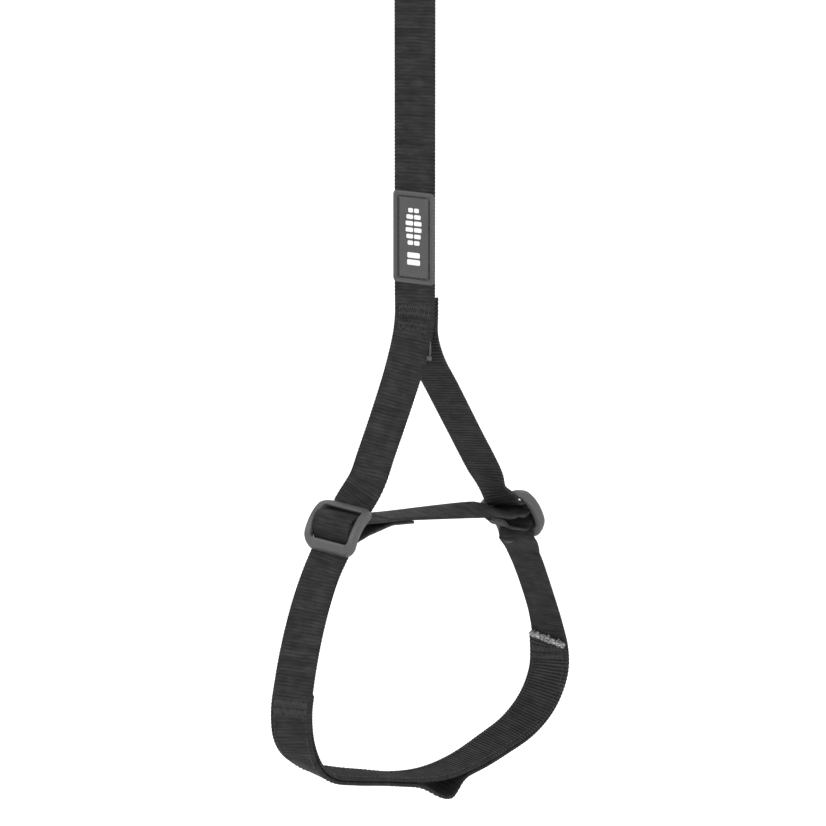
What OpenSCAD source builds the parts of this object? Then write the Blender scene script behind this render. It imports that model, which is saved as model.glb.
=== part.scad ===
// Adjustable webbing foot loop: a hanging tether with a sewn eye, a rubber
// label, and a stirrup whose two sliders are joined by a keeper strap.
// Millimetres. +Z is up, +X runs along the eye's bore, the label faces -Y,
// and the origin is the centre of the eye's bore.

/* [Webbing] */
// Width of the main strap
strap_w = 20; // [16:0.5:20]
// Thickness of the main strap
strap_t = 1.8; // [1.4:0.1:1.8]
// Width of the keeper strap
keeper_w = 20; // [15:0.5:20]
// Thickness of the keeper strap
keeper_t = 1.4; // [1:0.1:1.4]

/* [Attachment eye] */
// Radius of the round bore that the anchor passes through
eye_r = 8; // [7:0.5:8]
// Length of strap that is folded back and sewn below the eye
fold_back = 22; // [20:1:22]

/* [Label] */
// Width of the rubber label
label_w = 20.4; // [18:0.2:20.4]
// Height of the rubber label
label_h = 44; // [40:1:44]

/* [Sliders] */
// Clear width between a slider's side rails
slot_w = 20.8; // [20.8:0.2:21.4]
// Width of each side rail
rail_w = 3; // [2.6:0.2:3.4]
// Radius of the top and bottom bars
bar_r = 2.1; // [1.8:0.1:2.1]

/* [Hidden] */
$fn = 48;

webbing_colour = [0.20, 0.20, 0.21];
thread_colour = [0.14, 0.14, 0.15];
plastic_colour = [0.36, 0.36, 0.37];
rubber_colour = [0.30, 0.30, 0.31];
emblem_colour = [0.90, 0.91, 0.91];
cut_end_colour = [0.62, 0.62, 0.63];

// Running gap between solids that lie on each other
gap = 0.1;
// Gap between solids that are sewn or bonded to each other
touch_gap = 0.02;
// Gap between layers that follow a curve, and under the stitches on a curve
layer_gap = 0.65;
// Strap left out on each side of a hinge, so that its flat ends clear each other
hinge_gap = 0.8;

// The strap's plane in the tether, in front of the fold-back layer
tether_y = -(strap_t + gap) / 2;
// Heights of the hinge below the eye, the twist and the hinge above the stirrup
eye_hinge_z = -40;
twist_z = -128;
swing_z = -181;
label_z = -155;

// Route of the stirrup's strap from the front layer at the junction, down the
// left leg, along the foot bed, and up the right leg to the back layer. Each row
// is x, y, z, the turn of the strap's width about Z, and its downward tilt.
stirrup_route = [
    [0, -1, -182, 0, 0],
    [0, -1, -192, 1, 0],
    [-1, -1.4, -202, 3, 2],
    [-4, -5.5, -218, 10, 5],
    [-8, -12, -236, 13, 6],
    [-13, -21, -256, 14, 6],
    [-18, -30, -276, 14, 6],
    [-24, -39, -292, 14, 6],
    [-30, -49, -307, 14, 6],
    [-33, -58, -323, 12, 7],
    [-35, -66, -340, 10, 9],
    [-36, -73, -357, 7, 11],
    [-36.7, -77, -371, 4, 15],
    [-35.9, -77, -384, 2, 19],
    [-33.4, -72, -395, 6, 19],
    [-29, -61, -404, 16, 13],
    [-22, -45, -410, 26, 6],
    [-13, -27, -415.2, 30, 1],
    [-4, -8, -420.2, 31, -1],
    [6, 10, -422.6, 31, 0],
    [15.8, 28.2, -421, 29, 4],
    [25.2, 45.4, -415.6, 25, 8],
    [34.4, 61.5, -408.5, 18, 10],
    [40.6, 73.5, -398, 11, 12],
    [43.6, 81.5, -384.4, 7, 13],
    [43, 84.2, -371, 12, 14],
    [41.4, 82, -358, 18, 12],
    [38, 76, -340, 20, 8],
    [34, 67, -320, 18, 6],
    [29, 57, -300, 15, 5],
    [21.5, 43, -276, 14, 3],
    [14.5, 29, -252, 13, 2],
    [7.5, 15, -228, 12, 1],
    [3, 5.5, -213, 8, 1],
    [1, 1.5, -202, 3, 1],
    [1, 1, -192, 1, 0],
    [1, 1, -184, 0, 0]
];
// Rings made between two rows of a route
steps = 4;

// Rows of the route where each stretch of the strap starts and ends
left_leg_rows = [0, 5.75];
left_side_rows = [8.25, 11];
bed_rows = [11, 25.5];
right_side_rows = [25.5, 28];
right_leg_rows = [29.75, 36];
liner_rows = [11.25, 25.5];
tack_rows = 0.75;

// Each slider's place, and its turns about X, Y and Z
left_slider_at = [-24, -40.5, -289.5];
left_slider_turn = [-26, 8, -12];
right_slider_at = [30, 59.5, -298.5];
right_slider_turn = [-28, 12, 168];

// Gap between the layers that lie round a slider's centre bar
wrap_gap = 0.25;
// Width and thickness of the tacks' threads, and the pitch of their stitches
tack_thread = 0.5;
tack_pitch = 2;
tack_half_w = 7;
// Strap left plain beside a tack or an edge seam
tack_margin = 2;

// Slider section: the top and bottom bars stand at plus and minus this height,
// and the centre bar stands out from them by the frame's bow
bar_z = 10;
frame_bow = 3.6;
centre_bar_r = 1.5;
rail_depth = 4.4;
rail_bevel = 0.6;
rail_radius = (bar_z * bar_z + frame_bow * frame_bow) / (2 * frame_bow);
rail_sweep = 2 * asin(bar_z / rail_radius);
frame_w = slot_w + 2 * rail_w;

// The main strap's path round the bars, in the slider's own section
wrap_bar_r = bar_r + gap + strap_t / 2;
loop_r = centre_bar_r + wrap_gap + keeper_t / 2;
wrap_centre_r = loop_r + (keeper_t + strap_t) / 2 + wrap_gap;
bar_distance = norm([frame_bow, bar_z]);
cross_angle = asin((wrap_bar_r + wrap_centre_r) / bar_distance);
slope_angle = atan2(frame_bow, bar_z);
wrap_turn = cross_angle + slope_angle;
crossing_reach = 13.5;
// Points where the strap leaves the slider's own section, as x, y, z in its frame
left_upper_end = [[1.8, 4.25, 19.8], [1.9, 4.4, 22]];
left_lower_end = [[-1.6, -0.8, -20.5], [-1.55, -1.2, -24]];
right_upper_end = [[0.35, 4.2, 18], [0.3, 4.4, 20.6]];
right_lower_end = [[1.9, 2.8, -19], [2.1, 2.87, -22]];

// The keeper leaves the slider at a lead across the bars, and rises to run level
keeper_lead = 18;
left_keeper_rise = 22;
right_keeper_rise = 33;
// How far the loop's layers go inwards before they rise, and stand from its middle
loop_depth = 3;
loop_half = 4.2;
// Distances past that depth where the lead is full and where the loop has closed
lead_full = 8;
loop_closed = 12;
// Spacing of the keeper's rows, and the gaps between its layers and its lengths
keeper_step = 4;
keeper_layer_gap = 0.4;
keeper_end_gap = 0.5;
// Length of each loop's upper layer and of its tail, past that depth
left_keeper_reach = 34;
left_tail_reach = 33;
right_keeper_reach = 15;
right_tail_reach = 17;
left_tack_reach = 20;
right_tack_reach = 12.5;
keeper_sag = 1.5;

function at(row) = [row[0], row[1], row[2]];
function unit(v) = v / norm(v);
function last(list) = len(list) - 1;

// A smooth curve through the middle two of four rows
function between(p, q, r, s, t) =
    (2 * q + (r - p) * t + (2 * p - 5 * q + 4 * r - s) * t * t
        + (3 * q - p - 3 * r + s) * t * t * t) / 2;
function smooth(rows) = [
    for (i = [0 : last(rows) - 1])
        for (k = [0 : steps - 1])
            between(rows[max(i - 1, 0)], rows[i], rows[i + 1], rows[min(i + 2, last(rows))], k / steps),
    rows[last(rows)]
];

// A ring is the strap's centre, the direction of its width, and its outer face
function width_axis(row) =
    [cos(row[3]) * cos(row[4]), -sin(row[3]) * cos(row[4]), -sin(row[4])];
function heading(path, i) =
    unit(at(path[min(i + 1, last(path))]) - at(path[max(i - 1, 0)]));
function ring(path, i) =
    let (t = heading(path, i), w = width_axis(path[i]), across = unit(w - (w * t) * t))
    [at(path[i]), across, cross(t, across)];
function path_rings(path) = [for (i = [0 : last(path)]) ring(path, i)];
function stretch(all_rings, from_to) =
    [for (i = [round(from_to[0] * steps) : round(from_to[1] * steps)]) all_rings[i]];

stirrup_rings = path_rings(smooth(stirrup_route));

// A flat band along rings: lift is out of the strap's outer face, and side is
// along its width
module band(band_rings, width, thick, lift = 0, side = 0) {
    corners = [[-1, -1], [1, -1], [1, 1], [-1, 1]];
    count = len(band_rings);
    points = [
        for (r = band_rings)
            for (c = corners)
                r[0] + r[1] * (side + c[0] * width / 2) + r[2] * (lift + c[1] * thick / 2)
    ];
    walls = [
        for (i = [0 : count - 2])
            for (k = [0 : 3])
                let (a = 4 * i + k, b = 4 * i + (k + 1) % 4)
                for (f = [[a, b + 4, b], [a, a + 4, b + 4]]) f
    ];
    top = 4 * (count - 1);
    caps = [[0, 2, 3], [0, 1, 2], [top, top + 2, top + 1], [top, top + 3, top + 2]];
    polyhedron(points, concat(walls, caps));
}

// A box given by its lowest corner and size, centred on X
module slab(width, low_y, low_z, size_y, size_z) {
    translate([-width / 2, low_y, low_z]) cube([width, size_y, size_z]);
}

// A straight length of the tether between two heights
module tether_stretch(low_z, high_z) {
    slab(strap_w, tether_y - strap_t / 2, low_z, strap_t, high_z - low_z);
}

// Rows of cross stitches that stand on the strap's front and back faces
module tack(width, low_z, high_z, front_y, back_y, rows, columns) {
    pitch_x = width / columns;
    pitch_z = (high_z - low_z) / rows;
    stand_off = tack_thread / 2 + touch_gap;
    for (y = [front_y - stand_off, back_y + stand_off])
        for (row = [0 : rows - 1])
            for (column = [0 : columns - 1])
                translate([-width / 2 + (column + 0.5) * pitch_x, y, low_z + (row + 0.5) * pitch_z])
                    rotate([0, 60, 0])
                        cube([pitch_x * 0.9, tack_thread, tack_thread], center = true);
}

// Eye

eye_outer_r = eye_r + strap_t;
// Half the angle at the bottom of the eye where the strap leaves the circle
eye_open = 44;
eye_mid_r = eye_r + strap_t / 2;
neck_z = -eye_mid_r / cos(eye_open);
// The neck starts this far inside the circle's strap, in mm and degrees
neck_inset = 0.1;
neck_overlap = 4;

// A section in the eye's plane, made as wide as the strap
module across_eye() {
    translate([-strap_w / 2, 0, 0]) rotate([90, 0, 90]) linear_extrude(strap_w) children();
}

module eye_circle() {
    reach = 2 * eye_outer_r;
    difference() {
        circle(r = eye_outer_r);
        circle(r = eye_r);
        polygon([
            [0, 0],
            [reach * sin(eye_open), -reach * cos(eye_open)],
            [-reach * sin(eye_open), -reach * cos(eye_open)]
        ]);
    }
}

// One layer below the circle, from the circle's end down to a height
module eye_neck(side, low_z) {
    start = eye_open + neck_overlap;
    inner_r = eye_r + neck_inset;
    outer_r = eye_outer_r - neck_inset;
    polygon([
        [side * inner_r * sin(start), -inner_r * cos(start)],
        [side * outer_r * sin(start), -outer_r * cos(start)],
        [side * (strap_t + gap / 2), neck_z - strap_t],
        [side * (strap_t + gap / 2), low_z],
        [side * gap / 2, low_z],
        [side * gap / 2, neck_z + strap_t / 2]
    ]);
}

module eye_loop() {
    color(webbing_colour) {
        across_eye() eye_circle();
        across_eye() eye_neck(-1, eye_hinge_z + hinge_gap);
        across_eye() eye_neck(1, neck_z - strap_t - gap);
    }
}

module eye_fold_back() {
    color(webbing_colour)
        slab(strap_w, gap / 2, neck_z - strap_t - 2 * gap - fold_back, strap_t, fold_back);
}

module eye_bar_tack() {
    color(thread_colour)
        tack(strap_w - 2 * tack_margin, neck_z - fold_back + 2 * tack_margin, neck_z - 5,
            tether_y - strap_t / 2, gap / 2 + strap_t, 5, 6);
}

// Tether and label

module tether_webbing() {
    color(webbing_colour) tether_stretch(twist_z + gap * 2, eye_hinge_z - hinge_gap);
}

module label_strap_webbing() {
    color(webbing_colour) tether_stretch(swing_z + hinge_gap, twist_z - gap * 2);
}

label_base = 1;
label_rim = 1.5;
label_corner = 2;
label_face_y = tether_y - strap_t / 2 - touch_gap;

module rounded_plate(width, height, corner, thick) {
    linear_extrude(thick) {
        square([width - 2 * corner, height], center = true);
        square([width, height - 2 * corner], center = true);
        for (x = [-1, 1])
            for (y = [-1, 1])
                translate([x * (width / 2 - corner), y * (height / 2 - corner)]) circle(r = corner);
    }
}

// The label's own flat plane, with its outer face towards -Y
module on_label(depth) {
    translate([0, label_face_y - depth, label_z]) rotate([90, 0, 0]) children();
}

module label_patch() {
    color(rubber_colour)
        on_label(0) difference() {
            rounded_plate(label_w, label_h, label_corner, label_rim);
            translate([0, 0, label_base])
                rounded_plate(label_w - 3, label_h - 3, label_corner / 2, label_rim);
        }
}

// A boot sole seen from below: a tread plate and a heel plate
module label_emblem() {
    color(emblem_colour)
        on_label(label_base + touch_gap) {
            translate([0, 4.5]) rounded_plate(8, 16, 3.9, 0.25);
            translate([0, -10]) rounded_plate(7, 8, 3, 0.25);
        }
}

module label_stitching() {
    stitch = 2;
    pitch = 3;
    inset = 2.6;
    half_w = label_w / 2 - inset;
    half_h = label_h / 2 - inset;
    color(thread_colour)
        on_label(label_base + touch_gap) {
            for (side = [-1, 1])
                for (z = [-half_h + pitch / 2 : pitch : half_h - pitch / 4])
                    translate([side * half_w, z, 0.2]) cube([0.5, stitch, 0.4], center = true);
            for (side = [-1, 1])
                for (x = [-half_w + pitch / 2 : pitch : half_w - pitch / 4])
                    translate([x, side * half_h, 0.2]) cube([stitch, 0.5, 0.4], center = true);
        }
}

// Stirrup

module left_leg_webbing() {
    color(webbing_colour) band(stretch(stirrup_rings, left_leg_rows), strap_w, strap_t);
}

module right_leg_webbing() {
    color(webbing_colour) band(stretch(stirrup_rings, right_leg_rows), strap_w, strap_t);
}

module junction_tack(low_z, high_z, stand_off) {
    color(thread_colour) tack(strap_w - 2 * tack_margin, low_z, high_z, -stand_off, stand_off, 2, 6);
}

module junction_upper_tack() {
    junction_tack(-193, -187, 2);
}

module junction_lower_tack() {
    junction_tack(-200, -195, 2.4);
}

module left_side_webbing() {
    color(webbing_colour) band(stretch(stirrup_rings, left_side_rows), strap_w, strap_t);
}

module foot_bed_webbing() {
    color(webbing_colour) band(stretch(stirrup_rings, bed_rows), strap_w, strap_t);
}

module right_side_webbing() {
    color(webbing_colour) band(stretch(stirrup_rings, right_side_rows), strap_w, strap_t);
}

// The second layer lies inside the first
liner_lift = -(strap_t + layer_gap);
liner_rings = stretch(stirrup_rings, liner_rows);
sealed_edge = 0.9;

module foot_bed_liner() {
    color(webbing_colour) band(liner_rings, strap_w, strap_t, liner_lift);
}

// The heat-sealed edge of the liner, just past one of its end rings
module cut_end(end_ring, along, reaches) {
    color(cut_end_colour)
        band([for (reach = reaches) [end_ring[0] + along * reach, end_ring[1], end_ring[2]]],
            strap_w, strap_t, liner_lift);
}

module liner_left_cut_end() {
    along = unit(liner_rings[1][0] - liner_rings[0][0]);
    cut_end(liner_rings[0], along, [-gap - sealed_edge, -gap]);
}

module liner_right_cut_end() {
    end = last(liner_rings);
    along = unit(liner_rings[end][0] - liner_rings[end - 1][0]);
    cut_end(liner_rings[end], along, [gap, gap + sealed_edge]);
}

// One stitch in each ring-to-ring stretch, on the liner's face
module stitch_row(side) {
    thread = 0.4;
    color(thread_colour)
        for (i = [1 : last(liner_rings) - 2])
            band([
                for (share = [0.15, 0.85])
                    liner_rings[i] * (1 - share) + liner_rings[i + 1] * share
            ], thread * 2, thread, liner_lift - strap_t / 2 - thread / 2 - layer_gap / 2, side);
}

module bed_front_stitching() {
    stitch_row(strap_w / 2 - tack_margin);
}

module bed_back_stitching() {
    stitch_row(tack_margin - strap_w / 2);
}

// Cross stitches through both layers, on the strap's outer face; odd rows are staggered
module bed_tack(from_row) {
    tack_rings = stretch(stirrup_rings, [from_row, from_row + tack_rows]);
    lift = (strap_t + tack_thread) / 2 + layer_gap;
    color(thread_colour)
        for (side = [-tack_half_w : tack_pitch : tack_half_w])
            for (i = [0 : last(tack_rings) - 1])
                band([
                    for (share = [0.2, 0.8])
                        tack_rings[i] * (1 - share) + tack_rings[i + 1] * share
                ], tack_pitch / 2, tack_thread, lift, side + i % 2);
}

module left_bed_tack() {
    bed_tack(liner_rows[0] + 0.25);
}

module right_bed_tack() {
    bed_tack(liner_rows[1] - tack_rows - 0.25);
}

// A vector turned about X, then Y, then Z
function turned(v, t) =
    let (
        a = [v[0], v[1] * cos(t[0]) - v[2] * sin(t[0]), v[1] * sin(t[0]) + v[2] * cos(t[0])],
        b = [a[0] * cos(t[1]) + a[2] * sin(t[1]), a[1], a[2] * cos(t[1]) - a[0] * sin(t[1])]
    ) [b[0] * cos(t[2]) - b[1] * sin(t[2]), b[0] * sin(t[2]) + b[1] * cos(t[2]), b[2]];

// The loop's upper layer at a distance past its depth, and the layer below it
function upper_row(rise, d) = [
    d * cos(rise) * sin(keeper_lead),
    loop_depth + d * cos(rise) * cos(keeper_lead),
    loop_half + d * sin(rise),
    keeper_lead * min(1, d / lead_full),
    0
];
function layer_drop(d) = max(2 * loop_half * (1 - d / loop_closed), keeper_t + keeper_layer_gap);
function lower_row(rise, d) =
    upper_row(rise, d) - layer_drop(d) * [0, -sin(rise) * min(1, d / lead_full), cos(rise), 0, 0];
function layer_row(rise, d, upper) = upper ? upper_row(rise, d) : lower_row(rise, d);
function keeper_layer(rise, reach, upper) = [
    for (d = [0 : keeper_step : reach - keeper_step / 2]) layer_row(rise, d, upper),
    layer_row(rise, reach, upper)
];

// The middle of the keeper, from past the left loop's end to past the right one
left_end_row = upper_row(left_keeper_rise, left_keeper_reach + keeper_end_gap);
right_end_row = upper_row(right_keeper_rise, right_keeper_reach + keeper_end_gap);
keeper_start = left_slider_at + turned(at(left_end_row), left_slider_turn);
keeper_end = right_slider_at + turned(at(right_end_row), right_slider_turn);
keeper_start_across = turned(width_axis(left_end_row), left_slider_turn);
keeper_end_across = -turned(width_axis(right_end_row), right_slider_turn);

module keeper_strap() {
    along = unit(keeper_end - keeper_start);
    color(webbing_colour)
        band([
            for (share = [0 : 0.1 : 1])
                let (
                    centre = keeper_start + (keeper_end - keeper_start) * share
                        - [0, 0, keeper_sag * 4 * share * (1 - share)],
                    w = keeper_start_across * (1 - share) + keeper_end_across * share,
                    across = unit(w - (w * along) * along)
                ) [centre, across, cross(along, across)]
        ], keeper_w, keeper_t);
}

// Sliders: own frame has X along the bars, -Y outwards and Z up the leg

module rail() {
    start = 180 - rail_sweep / 2;
    deep = rail_depth / 2;
    wide = rail_w / 2;
    translate([0, rail_radius - frame_bow, 0]) rotate([90, 0, 90])
        rotate([0, 0, start]) rotate_extrude(angle = rail_sweep)
            translate([rail_radius, 0])
                polygon([
                    [-deep, -wide + rail_bevel], [-deep + rail_bevel, -wide],
                    [deep - rail_bevel, -wide], [deep, -wide + rail_bevel],
                    [deep, wide - rail_bevel], [deep - rail_bevel, wide],
                    [-deep + rail_bevel, wide], [-deep, wide - rail_bevel]
                ]);
}

module bar(y, z, radius) {
    translate([-frame_w / 2, y, z]) rotate([0, 90, 0]) cylinder(r = radius, h = frame_w);
}

module slider_frame() {
    color(plastic_colour) {
        for (side = [-1, 1]) translate([side * (slot_w + rail_w) / 2, 0, 0]) rail();
        for (end = [-1, 1]) bar(0, end * bar_z, bar_r);
        bar(-frame_bow, 0, centre_bar_r);
    }
}

// Points on an arc about a centre, angles measured from inwards towards up
function arc(centre, radius, from, to) = [
    for (k = [0 : 5])
        let (angle = from + (to - from) * k / 5)
        centre + radius * [cos(angle), sin(angle)]
];
// The strap's upper half, from above the top bar to outside the centre bar
upper_crossing = concat(
    [[wrap_bar_r, crossing_reach]],
    arc([0, bar_z], wrap_bar_r, 0, -wrap_turn),
    arc([-frame_bow, 0], wrap_centre_r, 180 - wrap_turn, 180)
);
lower_crossing = [
    for (i = [last(upper_crossing) - 1 : -1 : 0]) [upper_crossing[i][0], -upper_crossing[i][1]]
];
// Rows of a route that stays in the slider's section
function section_rows(points) = [for (p = points) [0, p[0], p[1], 0, 0]];
function end_rows(points) = [for (p = points) [p[0], p[1], p[2], 0, 0]];

module leg_crossing(upper_end, lower_end) {
    path = concat(
        end_rows([upper_end[1], upper_end[0]]),
        section_rows(concat(upper_crossing, lower_crossing)),
        end_rows(lower_end)
    );
    color(webbing_colour) band(path_rings(path), strap_w, strap_t);
}

// Rows round the outside of the centre bar, from its lower side to its upper side
bar_wrap = [
    for (angle = [255 : -25 : 105])
        [0, -frame_bow + loop_r * cos(angle), loop_r * sin(angle), 0, 0]
];

module keeper_loop(rise, reach, tail) {
    lower = keeper_layer(rise, tail, false);
    path = concat([for (i = [last(lower) : -1 : 0]) lower[i]], bar_wrap, keeper_layer(rise, reach, true));
    color(webbing_colour) band(path_rings(path), keeper_w, keeper_t);
}

// Cross stitches on both faces of the loop's closed part
module keeper_tack(rise, tack_reach) {
    lift = (keeper_t + tack_thread) / 2 + gap;
    stitch = 0.8 * tack_pitch;
    color(thread_colour)
        for (row = [0, 1])
            for (upper = [false, true])
                for (x = [-tack_half_w : tack_pitch : tack_half_w])
                    translate(at(layer_row(rise, tack_reach + stitch * row, upper)))
                        rotate([rise, 0, -keeper_lead])
                            translate([x + row, 0, upper ? lift : -lift])
                                rotate([0, 0, 60]) cube([stitch, tack_thread, tack_thread], center = true);
}

module left_slider_place() {
    translate(left_slider_at) rotate(left_slider_turn) children();
}

module right_slider_place() {
    translate(right_slider_at) rotate(right_slider_turn) children();
}

module left_slider_frame() {
    left_slider_place() slider_frame();
}

module left_leg_crossing() {
    left_slider_place() leg_crossing(left_upper_end, left_lower_end);
}

module left_keeper_loop() {
    left_slider_place() keeper_loop(left_keeper_rise, left_keeper_reach, left_tail_reach);
}

module left_keeper_tack() {
    left_slider_place() keeper_tack(left_keeper_rise, left_tack_reach);
}

module right_slider_frame() {
    right_slider_place() slider_frame();
}

module right_leg_crossing() {
    right_slider_place() leg_crossing(right_upper_end, right_lower_end);
}

module right_keeper_loop() {
    right_slider_place() keeper_loop(right_keeper_rise, right_keeper_reach, right_tail_reach);
}

module right_keeper_tack() {
    right_slider_place() keeper_tack(right_keeper_rise, right_tack_reach);
}

eye_loop();
eye_fold_back();
eye_bar_tack();
tether_webbing();
label_strap_webbing();
label_patch();
label_emblem();
label_stitching();
left_leg_webbing();
right_leg_webbing();
junction_upper_tack();
junction_lower_tack();
left_side_webbing();
foot_bed_webbing();
right_side_webbing();
foot_bed_liner();
liner_left_cut_end();
liner_right_cut_end();
bed_front_stitching();
bed_back_stitching();
left_bed_tack();
right_bed_tack();
keeper_strap();
left_slider_frame();
left_leg_crossing();
left_keeper_loop();
left_keeper_tack();
right_slider_frame();
right_leg_crossing();
right_keeper_loop();
right_keeper_tack();
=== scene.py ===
"""Looks for the climbing foot loop: ribbed webbing, rubber label, moulded sliders and stitching.

Meshes are in metres, in the same frame as the CAD part. Rows, points and plain sizes are written
in millimetres. A size in metres is a number times MM.
"""
import math

import bpy
import numpy as np
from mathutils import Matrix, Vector


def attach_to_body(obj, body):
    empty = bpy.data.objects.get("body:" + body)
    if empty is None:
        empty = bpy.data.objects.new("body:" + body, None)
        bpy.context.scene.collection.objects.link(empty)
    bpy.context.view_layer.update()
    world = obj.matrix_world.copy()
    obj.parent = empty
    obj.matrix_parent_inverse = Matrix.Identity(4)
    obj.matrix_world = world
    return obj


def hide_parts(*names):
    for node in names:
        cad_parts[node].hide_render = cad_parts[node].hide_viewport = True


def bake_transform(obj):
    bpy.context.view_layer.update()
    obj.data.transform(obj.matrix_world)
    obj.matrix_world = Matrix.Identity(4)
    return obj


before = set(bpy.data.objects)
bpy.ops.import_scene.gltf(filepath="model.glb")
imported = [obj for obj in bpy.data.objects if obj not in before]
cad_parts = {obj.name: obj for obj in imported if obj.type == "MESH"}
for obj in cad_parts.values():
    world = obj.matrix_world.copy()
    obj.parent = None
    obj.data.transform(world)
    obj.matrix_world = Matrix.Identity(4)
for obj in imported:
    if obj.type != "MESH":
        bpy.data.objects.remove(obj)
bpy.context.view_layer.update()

MM = 0.001
rng = np.random.default_rng(7)

# ---------------------------------------------------------------- camera and light

TARGET = Vector((-0.00114, -0.00037, -0.240))
FORWARD = Vector((-0.3023, 0.9303, -0.2079)).normalized()
DISTANCE = 2.0
SEEN = 0.3933  # metres across the frame at the target
SENSOR = 36


def put_in_scene(name, data, place, heading):
    """A camera or a lamp at a place, turned to look along a heading."""
    made = bpy.data.objects.new(name, data)
    made.location = place
    made.rotation_mode = "QUATERNION"
    made.rotation_quaternion = heading.to_track_quat("-Z", "Y")
    bpy.context.scene.collection.objects.link(made)
    return made


def add_camera():
    data = bpy.data.cameras.new("camera")
    data.sensor_width = SENSOR
    data.lens = SENSOR * DISTANCE / SEEN
    bpy.context.scene.camera = put_in_scene("camera", data, TARGET - FORWARD * DISTANCE, FORWARD)


def add_light(name, place, size, power):
    data = bpy.data.lights.new(name, "AREA")
    data.shape = "SQUARE"
    data.size = size
    data.energy = power
    put_in_scene(name, data, place, TARGET - Vector(place))


def add_world(strength):
    world = bpy.data.worlds.new("studio")
    world.use_nodes = True
    world.node_tree.nodes["Background"].inputs["Color"].default_value = (1, 1, 1, 1)
    world.node_tree.nodes["Background"].inputs["Strength"].default_value = strength
    bpy.context.scene.world = world


add_camera()
bpy.context.scene.view_settings.view_transform = "Standard"

# ---------------------------------------------------------------- sizes and rows

STRAP_THICK, KEEPER_THICK = 1.8, 1.4
STRAP_W, STRAP_T = 20 * MM, STRAP_THICK * MM
KEEPER_W, KEEPER_T = 20 * MM, KEEPER_THICK * MM
RIB, KEEPER_RIB = 1.7 * MM, 1.3 * MM
RINGS_PER_RIB = 6
TETHER_Y = -0.95
GAP = 0.1

# x, y, z, the turn of the strap's width about Z, and its downward tilt: millimetres and degrees
TETHER = [[0, TETHER_Y, z, 0, 0] for z in (-28, -40, -60, -90, -128, -150, -172)]
LEFT_LEG = [
    [0, -0.95, -181, 0, 0], [0, -1, -192, 1, 0], [-1, -1.4, -202, 3, 2], [-4, -5.5, -218, 10, 5],
    [-8, -12, -236, 13, 6], [-12.6, -21, -256, 14, 6], [-15.6, -27.4, -269, 13, 7],
]
LEFT_SIDE = [
    [-30.4, -50, -309, 14, 6], [-33, -58, -323, 12, 7], [-35, -66, -340, 10, 9], [-36, -73, -357, 7, 11],
]
BED = [
    [-36.4, -77, -371, 4, 15], [-35.3, -77, -384, 2, 19], [-32.6, -72, -395, 6, 19],
    [-28.6, -61, -404, 16, 13], [-22, -45, -410, 26, 6], [-13, -27, -415.2, 30, 1],
    [-4, -8, -420.6, 31, -1], [6, 10, -423, 31, 2], [15.8, 28.2, -421, 29, 4],
    [25.2, 45.4, -415.6, 25, 8], [34.4, 61.5, -408.5, 18, 10], [40.6, 73.5, -398, 11, 12],
    [43.6, 81.5, -384.4, 7, 13], [43, 84.2, -371, 12, 14],
]
RIGHT_SIDE = [
    [41.4, 82, -358, 18, 12], [38, 76, -340, 20, 8], [35.1, 70, -326, 20, 2], [33.4, 67.3, -320, 21, -3],
]
RIGHT_LEG = [
    [23.6, 47, -284, 24, 6], [21.5, 43, -276, 14, 3], [14.5, 29, -252, 13, 2], [7.5, 15, -228, 12, 1],
    [3, 5.5, -213, 8, 1], [1, 1.5, -202, 3, 1], [1, 1, -192, 1, 0], [1, 1, -184, 0, 0],
]

# Each slider's place and its turns about X, Y and Z
SLIDERS = {
    "left": ([-25.4, -39.7, -288.8], [-43, 6, -12]),
    "right": ([31.0, 57.8, -300.8], [-26, 20, 160]),
}
# The strap lies across each slider a little askew, and so does the keeper
STRAP_TURNS = {"left": [-40, 6, -12], "right": [-26, 8, 164]}
KEEPER_TURNS = {"left": [-26, 8, -12], "right": [-28, -3, 168]}

# A slider's end bars are BAR_Z from its middle, and its middle stands out by FRAME_BOW
BAR_Z, FRAME_BOW, BAR_R, CENTRE_R = 11, 3.6, 2.1, 1.5


def turn_matrix(degrees):
    """Turns about X, then Y, then Z."""
    x, y, z = np.radians(degrees)
    about_x = np.array([[1, 0, 0], [0, math.cos(x), -math.sin(x)], [0, math.sin(x), math.cos(x)]])
    about_y = np.array([[math.cos(y), 0, math.sin(y)], [0, 1, 0], [-math.sin(y), 0, math.cos(y)]])
    about_z = np.array([[math.cos(z), -math.sin(z), 0], [math.sin(z), math.cos(z), 0], [0, 0, 1]])
    return about_z @ about_y @ about_x


def in_slider(side, points, turn=None):
    """Points in a slider's own frame, in millimetres, as metres in the row frame."""
    place, own_turn = SLIDERS[side]
    matrix = turn_matrix(own_turn if turn is None else turn)
    return (np.array(place) + np.asarray(points, float) @ matrix.T) * MM


def width_of(turn, tilt):
    """The direction of a row's width."""
    a, b = math.radians(turn), math.radians(tilt)
    return [math.cos(a) * math.cos(b), -math.sin(a) * math.cos(b), -math.sin(b)]


def knots(rows):
    """Rows as centres in metres and the directions of their width."""
    centres = np.array([row[:3] for row in rows], float) * MM
    return centres, np.array([width_of(row[3], row[4]) for row in rows])


def slider_knots(side, section):
    """Points (inwards, up) of a slider's section, with their width along its bars."""
    centres = in_slider(side, [[0, inwards, up] for inwards, up in section], STRAP_TURNS[side])
    bars = turn_matrix(STRAP_TURNS[side])[:, 0]
    return centres, np.tile(bars, (len(section), 1))


def joined(*parts):
    """Several lots of centres and widths as one."""
    return np.concatenate([p[0] for p in parts]), np.concatenate([p[1] for p in parts])


def unit(vectors):
    return vectors / np.linalg.norm(vectors, axis=-1, keepdims=True)


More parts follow.
